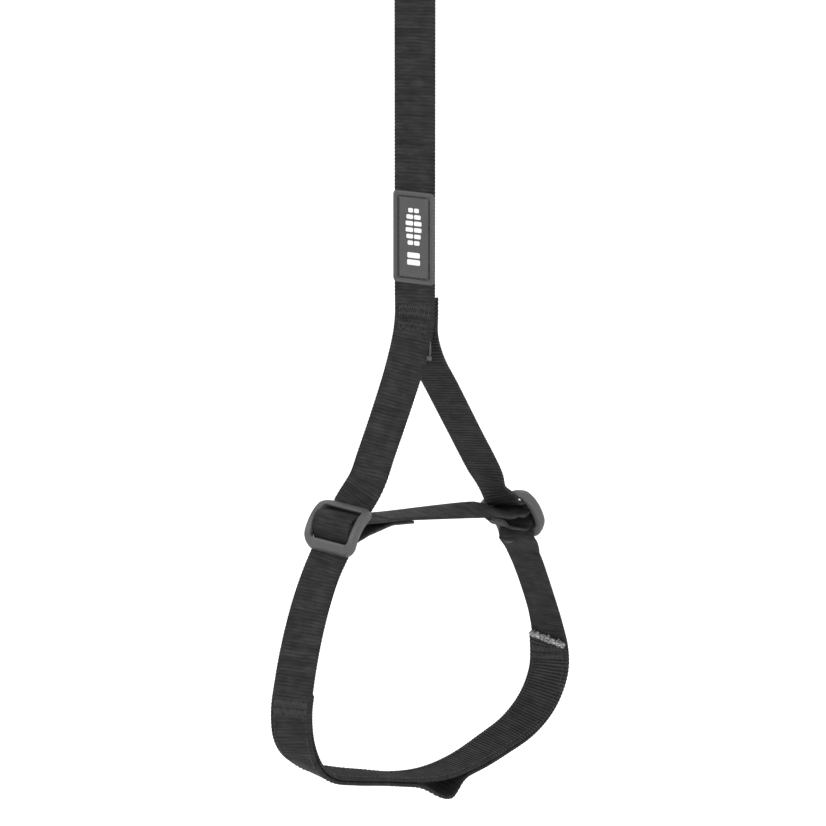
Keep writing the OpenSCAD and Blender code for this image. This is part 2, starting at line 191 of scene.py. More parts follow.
class Route:
    """A smooth line with the strap's width, outer face and distance along it at each ring."""

    SAMPLES_PER_KNOT = 40

    def __init__(self, centres, widths, pitch):
        gaps = np.linalg.norm(np.diff(centres, axis=0), axis=1)
        knot_t = np.concatenate([[0], np.cumsum(gaps ** 0.5)])
        dense = np.linspace(0, knot_t[-1], self.SAMPLES_PER_KNOT * len(centres))
        line = self.spline(knot_t, centres, dense)
        run = np.concatenate([[0], np.cumsum(np.linalg.norm(np.diff(line, axis=0), axis=1))])
        count = max(3, int(round(run[-1] / pitch)) + 1)
        self.along = np.linspace(0, run[-1], count)
        t = np.interp(self.along, run, dense)
        self.centre = self.spline(knot_t, centres, t)
        width = self.spline(knot_t, widths, t)
        heading = unit(np.gradient(self.centre, axis=0))
        width -= (width * heading).sum(1)[:, None] * heading
        self.across = unit(width)
        self.out = np.cross(heading, self.across)

    @staticmethod
    def spline(knot_t, values, t):
        """A curve through every knot, whose slope at a knot comes from its two neighbours."""
        step = np.diff(knot_t)[:, None]
        secant = np.diff(values, axis=0) / step
        slope = np.empty_like(values)
        slope[0], slope[-1] = secant[0], secant[-1]
        slope[1:-1] = (secant[:-1] * step[1:] + secant[1:] * step[:-1]) / (step[:-1] + step[1:])
        i = np.clip(np.searchsorted(knot_t, t, side="right") - 1, 0, len(knot_t) - 2)
        h = step[i]
        u = ((t - knot_t[i])[:, None]) / h
        return ((2 * u ** 3 - 3 * u ** 2 + 1) * values[i] + (u ** 3 - 2 * u ** 2 + u) * h * slope[i]
                + (3 * u ** 2 - 2 * u ** 3) * values[i + 1] + (u ** 3 - u ** 2) * h * slope[i + 1])

    def sampled(self, name, distance):
        """The centre, the width's direction or the outer direction at one distance or several."""
        return np.stack([np.interp(distance, self.along, axis) for axis in getattr(self, name).T], axis=-1)

    def part(self, start, end):
        """The rings from one distance to another, the ends included."""
        between = self.along[(self.along > start) & (self.along < end)]
        part = object.__new__(Route)
        part.along = np.unique(np.concatenate([[start], between, [end]]))
        for name in ("centre", "across", "out"):
            setattr(part, name, self.sampled(name, part.along))
        return part

    def nearest(self, point):
        """The distance along the route of its ring nearest to a point in millimetres."""
        gaps = np.linalg.norm(self.centre - np.array(point) * MM, axis=1)
        return self.along[gaps.argmin()]

    def at(self, distance, side, lift):
        """A point on the route, moved along the width and out of the outer face."""
        centre, across, out = (self.sampled(name, distance) for name in ("centre", "across", "out"))
        return centre + across * side + out * lift

    def beyond(self, end):
        """The direction in which the route goes on past its first ring (0) or its last (-1)."""
        return unit(self.centre[end] - self.centre[1 if end == 0 else -2])


# ---------------------------------------------------------------- materials

YARN = 0.62 * MM
TWIST = 1.6 * MM


class Shader:
    """A Principled material, with short ways to add the nodes that feed it."""

    def __init__(self, name, tone, roughness, specular=0.5):
        self.material = bpy.data.materials.new(name)
        self.material.use_nodes = True
        self.tree = self.material.node_tree
        self.surface = self.tree.nodes["Principled BSDF"]
        self.surface.inputs["Base Color"].default_value = (tone, tone, tone, 1)
        self.surface.inputs["Roughness"].default_value = roughness
        self.surface.inputs["Specular IOR Level"].default_value = specular

    def add(self, kind, links=(), **values):
        node = self.tree.nodes.new(kind)
        for key, value in values.items():
            if key in node.inputs:
                node.inputs[key].default_value = value
            else:
                setattr(node, key, value)
        for key, source in dict(links).items():
            self.tree.links.new(source, node.inputs[key])
        return node

    def math(self, operation, a, b=0.0):
        node = self.add("ShaderNodeMath", operation=operation)
        for index, value in enumerate((a, b)):
            if isinstance(value, (int, float)):
                node.inputs[index].default_value = value
            else:
                self.tree.links.new(value, node.inputs[index])
        return node.outputs[0]

    def weighted(self, parts):
        """The sum of several values, each times its own weight."""
        total = 0.0
        for source, weight in parts:
            total = self.math("ADD", self.math("MULTIPLY", source, weight), total)
        return total

    def waves(self, source, length, wander):
        """A sine along a distance, pushed to and fro by another value."""
        turns = self.math("MULTIPLY", source, 2 * math.pi / length)
        return self.math("SINE", self.math("ADD", turns, wander))

    def place(self):
        return self.add("ShaderNodeTexCoord").outputs["Object"]

    def noise(self, size, detail=2.0, where=None):
        links = {"Vector": where or self.place()}
        return self.add("ShaderNodeTexNoise", links, Scale=1 / size, Detail=detail).outputs["Fac"]

    def ramp(self, fac, stops):
        """Greys, or colours, at positions of a value."""
        node = self.add("ShaderNodeValToRGB", {"Fac": fac})
        ramp = node.color_ramp
        while len(ramp.elements) < len(stops):
            ramp.elements.new(0.5)
        for element, (position, grey) in zip(ramp.elements, stops):
            element.position = position
            element.color = (*grey, 1) if isinstance(grey, tuple) else (grey, grey, grey, 1)
        return node.outputs["Color"]

    def feed(self, socket, source):
        self.tree.links.new(source, self.surface.inputs[socket])

    def bump(self, height, depth):
        node = self.add("ShaderNodeBump", {"Height": height}, Strength=1.0, Distance=depth)
        self.feed("Normal", node.outputs["Normal"])


def webbing_material(name, tone, rib, rib_shade):
    """Woven nylon with painted shade between its ribs, stronger in some materials: u runs across the strap
    and v along it, both in metres.
    """
    shader = Shader(name, tone, roughness=0.78, specular=0.16)
    uv = shader.add("ShaderNodeUVMap", uv_map="strap").outputs["UV"]
    split = shader.add("ShaderNodeSeparateXYZ", {"Vector": uv})
    u, v = split.outputs["X"], split.outputs["Y"]
    stretched = shader.add("ShaderNodeCombineXYZ", {"X": shader.math("MULTIPLY", u, 0.1), "Y": v})
    across = stretched.outputs["Vector"]
    streaks = shader.noise(0.8 * MM, 3, across)
    wrinkles = shader.noise(3.5 * MM, 2, across)
    wander = shader.math("MULTIPLY", shader.noise(5 * MM, 3, uv), 0.9)
    rows = shader.waves(v, rib, wander)
    weave = shader.math("MULTIPLY", shader.waves(u, YARN, wander), rows)
    fuzz = shader.noise(0.35 * MM, 3, uv)
    patches = shader.noise(7 * MM, 4, uv)
    # The rib rows darken the colour between ribs: painted shade
    parts = ((streaks, 0.27), (fuzz, 0.37), (patches, 0.20), (wrinkles, 0.16), (rows, rib_shade), (weave, 0.012))
    tones = [
        (0.40, (tone * 0.4, tone * 0.4, tone * 0.45)),
        (0.50, (tone, tone, tone * 1.06)),
        (0.62, (tone * 2.3, tone * 2.3, tone * 2.4)),
    ]
    shader.feed("Base Color", shader.ramp(shader.weighted(parts), tones))
    shader.feed("Roughness", shader.ramp(fuzz, [(0.3, 0.70), (0.7, 0.88)]))
    shader.bump(shader.weighted(((streaks, 1.2), (fuzz, 0.8), (weave, 0.2), (wrinkles, 2.2))), 0.12 * MM)
    return shader.material


def thread_material(name, tone):
    """Bonded twisted thread."""
    shader = Shader(name, tone, roughness=0.55)
    links = {"Vector": shader.place()}
    twist = shader.add("ShaderNodeTexWave", links, Scale=1 / TWIST, bands_direction="DIAGONAL")
    patches = shader.noise(3 * MM)
    shader.feed("Base Color", shader.ramp(patches, [(0.3, tone * 0.7), (0.7, tone * 1.6)]))
    shader.bump(twist.outputs["Fac"], 0.08 * MM)
    return shader.material


def moulded_material(name, tone, roughness, grain, wear_and_painted_light):
    """Moulded plastic or rubber with fine grain and flow marks; convex edges are painted paler, partly wear
    and partly painted highlight, and hollows darker as painted shade.
    """
    shader = Shader(name, tone, roughness, specular=0.3)
    fine = shader.noise(grain, 3)
    flow = shader.noise(6 * MM, 3)
    # Pointiness paints edges paler (wear plus painted highlight) and hollows darker (painted shade)
    edge = shader.add("ShaderNodeNewGeometry").outputs["Pointiness"]
    worn_and_painted_light = shader.math("MULTIPLY", shader.math("SUBTRACT", edge, 0.5), wear_and_painted_light)
    base = shader.math("ADD", shader.math("MULTIPLY", flow, 0.5), worn_and_painted_light)
    shade = shader.math("ADD", base, shader.math("MULTIPLY", fine, 0.3))
    tones = [
        (0.15, (tone * 0.78, tone * 0.78, tone * 0.8)),
        (0.45, (tone, tone, tone * 1.02)),
        (0.90, (tone * 1.5, tone * 1.5, tone * 1.53)),
    ]
    shader.feed("Base Color", shader.ramp(shade, tones))
    shader.feed("Roughness", shader.ramp(flow, [(0.3, roughness - 0.06), (0.7, roughness + 0.08)]))
    shader.bump(fine, 0.03 * MM)
    return shader.material


def sealed_material():
    """Melted nylon: pale grey crust with dark burnt specks."""
    shader = Shader("sealed_edge", tone=0.2, roughness=0.45)
    specks = shader.noise(0.7 * MM, 4)
    shader.feed("Base Color", shader.ramp(specks, [(0.40, 0.03), (0.50, 0.16), (0.60, 0.42)]))
    shader.bump(specks, 0.3 * MM)
    return shader.material


# The last number is how strongly painted shade darkens each webbing between its ribs
WEBBING = webbing_material("webbing", 0.014, RIB, rib_shade=0.025)
INNER_FACE = webbing_material("ribbed_webbing", 0.015, RIB, rib_shade=0.10)
# The keeper's tone above the main webbing's is painted light, standing in for its lit upper face
KEEPER = webbing_material("keeper_webbing", 0.022, KEEPER_RIB, rib_shade=0.02)
THREAD = thread_material("thread", 0.012)
# Pale thread: its paleness is painted highlight on the junction's lit fold ridge and knot
PALE_THREAD = thread_material("highlight_thread", 0.045)
# The last number sets how strongly edges are painted paler and hollows darker: wear with painted highlight
# and shade
PLASTIC = moulded_material("slider_plastic", 0.058, roughness=0.48, grain=0.3 * MM, wear_and_painted_light=3.5)
RUBBER = moulded_material("label_rubber", 0.050, roughness=0.55, grain=0.25 * MM, wear_and_painted_light=3.0)
PRINT = moulded_material("emblem_print", 0.62, roughness=0.5, grain=0.2 * MM, wear_and_painted_light=0.4)
SEALED = sealed_material()

# ---------------------------------------------------------------- mesh makers

FACE_POINTS = 15  # across each flat face of a strap
FACE_SHARE = 0.96  # of the strap's width
EDGE_ANGLES = np.radians([70, 35, 0, -35, -70])
EDGE_R = 0.035  # the rounded edge's share of the half width
EDGE_DEPTH = 0.9  # the rounded edge's share of the thickness
EDGE_WOBBLE = 0.012
FRAY = ((0.25 * MM, 23, 5), (0.2 * MM, 61, 0))  # size, waves across the strap and where they start
THREAD_SIDES = 6
OFF_AXIS = np.array([0.31, 0.22, 0.92])  # no stitch runs in this direction
STITCH_POINTS = 7
STITCH_R = 0.24 * MM


def mesh_object(name, points, faces, material, slot, uv=None):
    mesh = bpy.data.meshes.new(name)
    mesh.from_pydata([tuple(p) for p in np.asarray(points)], [], [tuple(int(i) for i in f) for f in faces])
    mesh.update()
    if uv is not None:
        layer = mesh.uv_layers.new(name="strap")
        corner = np.empty(len(mesh.loops), np.int32)
        mesh.loops.foreach_get("vertex_index", corner)
        layer.data.foreach_set("uv", np.asarray(uv, np.float32)[corner].ravel())
    mesh.materials.append(material)
    mesh.polygons.foreach_set("use_smooth", np.ones(len(mesh.polygons), bool))
    made = bpy.data.objects.new(name, mesh)
    bpy.context.scene.collection.objects.link(made)
    return made


def tube_faces(rings, sides, closed=False):
    """Walls between rings of points. The ends are capped unless the last ring meets the first."""
    ring, k = np.meshgrid(np.arange(rings if closed else rings - 1), np.arange(sides), indexing="ij")
    here, there = ring * sides, (ring + 1) % rings * sides
    k_next = (k + 1) % sides
    walls = np.stack([here + k, here + k_next, there + k_next, there + k], -1).reshape(-1, 4).tolist()
    if closed:
        return walls
    last = (rings - 1) * sides
    return walls + [list(range(sides))[::-1], list(range(last, last + sides))]


def merged(pieces):
    """Several pieces' points and faces as one list of each."""
    points, faces = [], []
    for piece_points, piece_faces in pieces:
        base = len(points)
        points.extend(piece_points)
        faces.extend([[base + i for i in face] for face in piece_faces])
    return points, faces


def strap_section():
    """A strap's outline as shares of its half width and of its half thickness."""
    face_u = np.linspace(-1, 1, FACE_POINTS) * FACE_SHARE
    face_t = np.ones(FACE_POINTS)
    edge_u = 1 - EDGE_R + EDGE_R * np.cos(EDGE_ANGLES)
    edge_t = np.sin(EDGE_ANGLES) * EDGE_DEPTH
    side_u = np.concatenate([face_u, edge_u, -face_u, -edge_u])
    side_t = np.concatenate([face_t, edge_t, -face_t, -edge_t])
    return side_u, side_t


def slanted(route, across, slant):
    """Shifts along the strap that cut its far end at a slant: they fade within a strap's half width."""
    share = np.clip(1 - (route.along[-1] - route.along) / (STRAP_W / 2), 0, 1)
    heading = np.gradient(route.centre, route.along, axis=0)
    return heading[:, None, :] * (slant * share[:, None] * across)[..., None]


def ribbon(name, route, width, thick, rib, material, slot, lift=0.0, frayed=(),
           rib_height=0.045 * MM, slant=0.0, lean=0.0):
    """A strap with ribs across it, rounded woven edges and, at frayed ends, an uneven cut."""
    side_u, side_t = strap_section()
    on_face = np.abs(side_t) == 1
    ribs = np.cos(2 * math.pi * route.along / rib)[:, None]
    across = side_u * width / 2 * (1 + EDGE_WOBBLE * ribs * ~on_face)
    out = side_t * (thick / 2 - rib_height + rib_height * ribs * on_face) + lift + lean * side_u
    points = (route.centre[:, None, :] + route.across[:, None, :] * across[..., None]
              + route.out[:, None, :] * out[..., None])
    points += slanted(route, across, slant)
    for end in frayed:
        cut = sum(size * np.sin(side_u * waves + start) for size, waves, start in FRAY)
        points[end] += route.beyond(end) * cut[:, None]
    uv = np.stack([across, np.broadcast_to(route.along[:, None], across.shape)], -1)
    faces = tube_faces(len(route.along), len(side_u))
    return mesh_object(name, points.reshape(-1, 3), faces, material, slot, uv.reshape(-1, 2))


def tube(line, radius):
    """Points and faces of one thread along a list of points."""
    line = np.asarray(line, float)
    heading = unit(np.gradient(line, axis=0))
    one = unit(np.cross(heading, OFF_AXIS))
    two = np.cross(heading, one)
    angle = np.linspace(0, 2 * math.pi, THREAD_SIDES, endpoint=False)[None, :, None]
    ring = line[:, None, :] + (one[:, None, :] * np.cos(angle) + two[:, None, :] * np.sin(angle)) * radius
    return ring.reshape(-1, 3), tube_faces(len(line), THREAD_SIDES)


def add_threads(name, lines, material=THREAD, radius=STITCH_R):
    """Threads along lists of points, as one piece."""
    return mesh_object(name, *merged(tube(line, radius) for line in lines), material, "thread")


def arched(start, end, out, rise, sink):
    """A stitch from one point to another: it stands out by rise and its ends sink in."""
    share = np.linspace(0, 1, STITCH_POINTS)[:, None]
    height = (rise + sink) * np.sin(share * math.pi) ** 0.6 - sink
    return start + (end - start) * share + out * height


# ---------------------------------------------------------------- the main strap's routes

EYE_BORE_R = 8
EYE_OPEN = math.radians(44)  # half the angle that the two strap ends leave open below the eye
EYE_TURNS = np.radians(np.linspace(52, 308, 17))
WRAP_GAP = 0.5
LEAVE_AT = 1  # how far past a slider's end bar the strap still runs straight
eye_r = EYE_BORE_R + STRAP_THICK / 2
neck_z = -eye_r / math.cos(EYE_OPEN)
neck = [[0, 0.95, neck_z - 3.2], [0, 2.6, neck_z + 1.0]]  # where the strap's end meets the tether
round_eye = [[0, eye_r * math.sin(a), -eye_r * math.cos(a)] for a in EYE_TURNS]
other_neck = [[0, -y, z] for _, y, z in neck[::-1]]
eye_points = ([[0, 0.95, z] for z in (-36, -28, -20)] + neck + round_eye + other_neck
              + [[0, -0.95, z] for z in (-20, -28)])

wrap_r = BAR_R + GAP + STRAP_THICK / 2
wrap_centre = CENTRE_R + KEEPER_THICK + WRAP_GAP + STRAP_THICK / 2
cross_angle = math.asin((wrap_r + wrap_centre) / math.hypot(FRAME_BOW, BAR_Z))
wrap_turn = cross_angle + math.atan2(FRAME_BOW, BAR_Z)


def arc(centre, radius, start, end, count):
    turns = np.linspace(start, end, count)
    return [[centre[0] + radius * math.cos(t), centre[1] + radius * math.sin(t)] for t in turns]


# Behind the top bar, over the centre bar and behind the bottom bar
upper_half = ([[wrap_r, BAR_Z + LEAVE_AT]] + arc([0, BAR_Z], wrap_r, 0, -wrap_turn, 7)
              + arc([-FRAME_BOW, 0], wrap_centre, math.pi - wrap_turn, math.pi, 6))
crossing = upper_half + [[inwards, -up] for inwards, up in upper_half[-2::-1]]
left_crossing = slider_knots("left", crossing)
right_centres, right_widths = slider_knots("right", crossing[::-1])

stirrup = Route(*joined(knots(TETHER + LEFT_LEG), left_crossing, knots(LEFT_SIDE + BED + RIGHT_SIDE),
                        (right_centres, -right_widths), knots(RIGHT_LEG)), RIB / RINGS_PER_RIB)
eye = Route(*knots([[*point, 0, 0] for point in eye_points]), RIB / RINGS_PER_RIB)

# ---------------------------------------------------------------- the main strap

CROSSING_HALF = 13.5  # how far up and down from a slider's middle its own length of strap reaches
NECK_END, LABEL_END, JUNCTION_END = -52, -176, -190
BULGE_LEAN = 0.3  # share by which the front edge stands out more than the middle
BULGE_HEIGHT = 6.4 * MM
BULGE_LEFT, BULGE_RIGHT = 13 * MM, 6.5 * MM

bed_start, bed_end = stirrup.nearest(BED[0][:3]), stirrup.nearest(BED[-1][:3])
bulge_at = stirrup.nearest([7.4, 12.5, -422])


def slider_limit(side, z):
    """The distance along the strap at a height in a slider's own frame."""
    return stirrup.nearest(in_slider(side, [0, wrap_r, z]) / MM)


def down_to(z):
    """The distance along the strap where the tether reaches a height."""
    return stirrup.nearest([0, TETHER_Y, z])


def bulge(distance):
    """How far the outer layer stands away from the liner: it fades slowly to the left."""
    from_top = np.asarray(distance) - bulge_at
    return BULGE_HEIGHT * np.exp(-(from_top / np.where(from_top < 0, BULGE_LEFT, BULGE_RIGHT)) ** 2)


def attach(made, route, bodies, blend=None):
    if len(bodies) == 1:
        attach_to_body(made, bodies[0])
    else:
        start, end = blend or (route.centre[0], route.centre[-1])
        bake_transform(made)
        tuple(start)
        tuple(end)


def add_strap(name, route, bodies, nodes=(), blend=None, **looks):
    """A length of the main strap that rides one body, or is left unattached where it spans two."""
    looks.setdefault("material", WEBBING)
    made = ribbon(name, route, STRAP_W, STRAP_T, RIB, slot="webbing", **looks)
    attach(made, route, bodies, blend)
    if nodes:
        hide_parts(*nodes)
    return made


left_top, left_low = slider_limit("left", CROSSING_HALF), slider_limit("left", -CROSSING_HALF)
right_low, right_top = slider_limit("right", -CROSSING_HALF), slider_limit("right", CROSSING_HALF)

eye_strap = add_strap("eye_strap", eye, ["sewn_eye"], ["eye_loop", "eye_fold_back"], frayed=(0,))
neck_strap = add_strap("neck_strap", stirrup.part(0, down_to(NECK_END)), ["sewn_eye", "tether"],
                       blend=((0, 0, -0.0365), (0, 0, -0.0465)))
tether_route = stirrup.part(down_to(NECK_END), down_to(LABEL_END))
tether = add_strap("tether_strap", tether_route, ["tether", "label_strap"],
                   ["tether_webbing", "label_strap_webbing"], blend=((0, 0, -0.058), (0, 0, -0.128)))
add_strap("junction_strap", stirrup.part(down_to(LABEL_END), down_to(JUNCTION_END)),
          ["label_strap", "stirrup"], blend=((0, 0, -0.1775), (0, 0, -0.1865)))

add_strap("left_leg_strap", stirrup.part(down_to(JUNCTION_END), left_top), ["stirrup", "left_slider"],
          ["left_leg_webbing"])
add_strap("left_crossing_strap", stirrup.part(left_top, left_low), ["left_slider"], ["left_leg_crossing"])
add_strap("left_side_strap", stirrup.part(left_low, bed_start), ["left_slider", "stirrup"],
          ["left_side_webbing"])
bed_route = stirrup.part(bed_start, bed_end)
bed_lift = bulge(bed_route.along)[:, None]
add_strap("bed_outer_strap", bed_route, ["stirrup"], ["foot_bed_webbing"], lift=bed_lift,
          lean=BULGE_LEAN * bed_lift)
add_strap("right_side_strap", stirrup.part(bed_end, right_low), ["stirrup", "right_slider"],
          ["right_side_webbing"])
add_strap("right_crossing_strap", stirrup.part(right_low, right_top), ["right_slider"],
          ["right_leg_crossing"])
add_strap("right_leg_strap", stirrup.part(right_top, stirrup.along[-1]), ["right_slider", "stirrup"],
          ["right_leg_webbing"], frayed=(-1,), material=INNER_FACE)

# ---------------------------------------------------------------- foot bed's inner layer

LAYER_GAP = 0.35
LINER_LIFT = -(STRAP_THICK + LAYER_GAP) * MM
LINER_SLANT = -0.3  # the right end's cut, along the strap for each step across it
SEAL_RINGS, SEAL_SIDES = 61, 14
SEAL_SHARE = 0.985  # of the strap's width
RAGGED = 0.16  # a melted bead's roughness, as a share of its size

liner_route = stirrup.part(stirrup.nearest([-36, -74.5, -361.5]), stirrup.nearest([42.6, 84, -369.2]))
add_strap("bed_liner_strap", liner_route, ["stirrup"], ["foot_bed_liner"], lift=LINER_LIFT, frayed=(0, -1),
          material=INNER_FACE, rib_height=0.12 * MM, slant=LINER_SLANT)


def melted_end(name, node, route, end, size, slant):
    """A pale bead where the strap's cut end was heat-sealed: ragged along its length."""
    centre, across, out = route.centre[end], route.across[end], route.out[end]
    away = route.beyond(end)
    points = []
    for u in np.linspace(-1, 1, SEAL_RINGS):
        thin = (1 - abs(u) ** 12) ** 0.5 + 0.15
        side = u * STRAP_W / 2 * SEAL_SHARE
        lump = 0.22 * math.sin(u * 9 + 1) + 0.2 * math.sin(u * 23) + 0.15 * rng.standard_normal()
        middle = centre + across * side + out * LINER_LIFT + away * slant * side
        for a in np.linspace(0, 2 * math.pi, SEAL_SIDES, endpoint=False):
            ragged = size * (1 + RAGGED * rng.standard_normal()) * thin * MM
            past_end = ragged * (0.75 + 0.45 * lump) * (math.cos(a) + 0.3)
            outwards = ragged * (0.95 + 0.4 * lump) * math.sin(a)
            points.append(middle + away * past_end + out * outwards)
    made = mesh_object(name, points, tube_faces(SEAL_RINGS, SEAL_SIDES), SEALED, "sealed_edge")
    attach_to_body(made, "stirrup")
    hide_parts(node)


melted_end("liner_left_seal", "liner_left_cut_end", liner_route, 0, size=0.9, slant=0.0)
melted_end("liner_right_seal", "liner_right_cut_end", liner_route, -1, size=1.7, slant=LINER_SLANT)

# ---------------------------------------------------------------- stitching

EDGE_PITCH, EDGE_STITCH = 3.1 * MM, 2.5 * MM
EDGE_INSET = 2 * MM
TACK_PITCH = 1.0 * MM
TACK_JITTER = 0.45 * MM
ROW_SHARE = (0.08, 0.92)  # of its band that a row of tack stitches fills
BED_TACK_INSET, BED_TACK_LENGTH = 3 * MM, 8 * MM
BACK_FACE = -STRAP_T * 1.5  # of a second layer that touches the first

# The faces that stitches lie on: how far out each is, and which way it looks
BED_FACES = [(STRAP_T / 2, 1), (LINER_LIFT - STRAP_T / 2, -1)]
STACK_FACES = [(STRAP_T / 2, 1), (BACK_FACE - 2 * GAP * MM, -1)]
EYE_FACES = [(STRAP_T / 2, 1), (BACK_FACE - GAP * MM, -1)]
KEEPER_LAYERS = 1.75  # between the middles of a keeper loop's two sewn layers
KEEPER_FACES = [(-KEEPER_T / 2, -1), (KEEPER_T / 2 + KEEPER_LAYERS * MM, 1)]


def edge_stitches(name, node, side):
    """A row of stitches along one edge of the bed, on both faces."""
    lines = []
    lean = 1 + BULGE_LEAN * side / (STRAP_W / 2)
    for start in np.arange(liner_route.along[0] + 4 * MM, liner_route.along[-1] - 5 * MM, EDGE_PITCH):
        for lift, sign in BED_FACES[::-1]:
            ends = [stirrup.at(d, side, lift + (bulge(d) * lean if sign > 0 else 0))
                    for d in (start, start + EDGE_STITCH)]
            lines.append(arched(*ends, sign * stirrup.sampled("out", start), 0.18 * MM, 0.35 * MM))
    made = add_threads(name, lines)
    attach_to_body(made, "stirrup")
    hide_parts(node)


def bar_tack(name, node, body, route, start, end, faces, half_width, rows=2):
    """Close zigzag stitches across a strap: each row goes to and fro over a band of the strap."""
    lines = []
    row_gap = (end - start) / rows
    for lift, sign in faces:
        for row in range(rows):
            low, high = (start + row_gap * (row + share) for share in ROW_SHARE)
            for side in np.arange(-half_width, half_width - TACK_PITCH / 2, TACK_PITCH):
                jitter = TACK_JITTER * rng.standard_normal(2)
                for leg, (d0, d1) in enumerate(((low, high), (high, low))):
                    left = side + leg * TACK_PITCH / 2
                    one = route.at(d0 + jitter[0], left, lift)
                    two = route.at(d1 + jitter[1], left + TACK_PITCH / 2, lift)
                    lines.append(arched(one, two, sign * route.sampled("out", low), 0.2 * MM, 0.3 * MM))
    made = add_threads(name, lines)
    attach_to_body(made, body)
    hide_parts(node)
    return made


def junction_knot():
    """The tacks' thread end: a ridge along the front layer's edge, tied off in a small knot. Its pale thread
    is painted highlight where the fold's crest catches the light.
    """
    ridge = np.array([[7.6, -2.6, -203.5], [7.9, -3.1, -206], [8.2, -3.5, -209], [8.0, -3.9, -211.5]]) * MM
    lines = [ridge, ridge + [0.5 * MM, 0, 0.3 * MM]]
    for index in range(4):
        start = np.array([5.6, -4.3, -211.2 - 0.45 * index]) * MM
        end = start + np.array([3.6, -0.1, -0.35]) * MM
        lines.append(arched(start, end, np.array([0, -1, 0]), 0.45 * MM, 0.3 * MM))
    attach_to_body(add_threads("junction_knot", lines, PALE_THREAD, 0.34 * MM), "stirrup")


edge_stitches("bed_front_seam", "bed_front_stitching", EDGE_INSET - STRAP_W / 2)
edge_stitches("bed_back_seam", "bed_back_stitching", STRAP_W / 2 - EDGE_INSET)
eye_tack = bar_tack("eye_tack", "eye_bar_tack", "sewn_eye", eye, eye.nearest([0, -0.95, -17.5]),
                    eye.nearest([0, -0.95, -27]), EYE_FACES, 8 * MM, rows=3)
bar_tack("junction_upper_seam", "junction_upper_tack", "stirrup", stirrup, down_to(-187), down_to(-193.2),
         STACK_FACES, 7.8 * MM)
bar_tack("junction_lower_seam", "junction_lower_tack", "stirrup", stirrup, down_to(-195.5),
         stirrup.nearest([-0.8, -1.3, -200.5]), STACK_FACES, 7.6 * MM)
junction_knot()
left_tack_at = liner_route.along[0] + BED_TACK_INSET
right_tack_at = liner_route.along[-1] - BED_TACK_INSET
bar_tack("left_bed_seam", "left_bed_tack", "stirrup", stirrup, left_tack_at, left_tack_at + BED_TACK_LENGTH,
         BED_FACES, 8 * MM)
bar_tack("right_bed_seam", "right_bed_tack", "stirrup", stirrup, right_tack_at - BED_TACK_LENGTH,
         right_tack_at, BED_FACES, 8 * MM)

# ---------------------------------------------------------------- keeper strap

# The keeper leaves a slider at a lead across its bars, which it takes up over the lead's length
LEAD, LEAD_LENGTH = math.radians(18), 8
LOOP_DEPTH, LOOP_HALF, LOOP_R = 3, 4.2, CENTRE_R + 0.95
LOOP_TURNS = np.radians(np.linspace(250, 110, 6))
KEEPER_STEP = 4
KEEPER_TACK_HALF = 2 * MM

# How steeply each end rises in degrees, and in millimetres past its slider's middle: how far its
# upper layer and its tail reach, where its loop has closed, and where its tack is
KEEPER_ENDS = {
    "left": {"rise": 21.5, "reach": 34, "tail": 37, "closed": 29, "tack": 24},
    "right": {"rise": 41, "reach": 17, "tail": 23, "closed": 17, "tack": 15.5},
}


def keeper_layer(side, distances, below):
    """Points of a loop's layer past the slider, and the direction of its width there.

    The lower layer (below is 1) lies under the upper one (0) by the loop's opening, which closes.
    """
    rise = math.radians(KEEPER_ENDS[side]["rise"])
    points, widths = [], []
    for d in distances:
        opening = 2 * LOOP_HALF * (1 - d / KEEPER_ENDS[side]["closed"])
        drop = below * max(opening, KEEPER_LAYERS)
        fade = min(1, d / LEAD_LENGTH)
        level = d * math.cos(rise)
        points.append([level * math.sin(LEAD),
                       LOOP_DEPTH + level * math.cos(LEAD) + drop * math.sin(rise) * fade,
                       LOOP_HALF + d * math.sin(rise) - drop * math.cos(rise * fade)])
        widths.append([math.cos(LEAD * fade), -math.sin(LEAD * fade), 0])
    return points, widths


def steps_to(reach):
    """Distances from a slider to a layer's end."""
    return [*np.arange(0, reach - KEEPER_STEP / 2, KEEPER_STEP), reach]


def keeper_end(side):
    """A keeper's end: its tail, round the outside of the centre bar, and its upper layer."""
    shape = KEEPER_ENDS[side]
    lower, lower_w = keeper_layer(side, steps_to(shape["tail"])[::-1], below=1)
    wrap = [[0, -FRAME_BOW + LOOP_R * math.cos(a), LOOP_R * math.sin(a)] for a in LOOP_TURNS]
    upper, upper_w = keeper_layer(side, steps_to(shape["reach"]), below=0)
    sign = 1 if side == "left" else -1
    widths = np.array(lower_w + [[1, 0, 0]] * len(wrap) + upper_w) @ turn_matrix(KEEPER_TURNS[side]).T * sign
    return in_slider(side, lower + wrap + upper, KEEPER_TURNS[side]), widths


def add_keeper(name, start, end, bodies, node, **looks):
    route = keeper.part(start, end)
    made = ribbon(name, route, KEEPER_W, KEEPER_T, KEEPER_RIB, KEEPER, "keeper_webbing", **looks)
    attach(made, route, bodies)
    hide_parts(node)


def keeper_tack(side):
    points, _ = keeper_layer(side, [KEEPER_ENDS[side]["tack"]], below=0)
    at = keeper.nearest(in_slider(side, points, KEEPER_TURNS[side])[0] / MM)
    bar_tack(side + "_keeper_seam", side + "_keeper_tack", side + "_slider", keeper, at - KEEPER_TACK_HALF,
             at + KEEPER_TACK_HALF, KEEPER_FACES, 8 * MM)


left_centres, left_widths = keeper_end("left")
right_centres, right_widths = keeper_end("right")
keeper = Route(*joined((left_centres, left_widths), (right_centres[::-1], right_widths[::-1])),
               KEEPER_RIB / RINGS_PER_RIB)
left_seam = keeper.nearest(left_centres[-1] / MM)
right_seam = keeper.nearest(right_centres[-1] / MM)
keeper_middle = (left_seam + right_seam) / 2

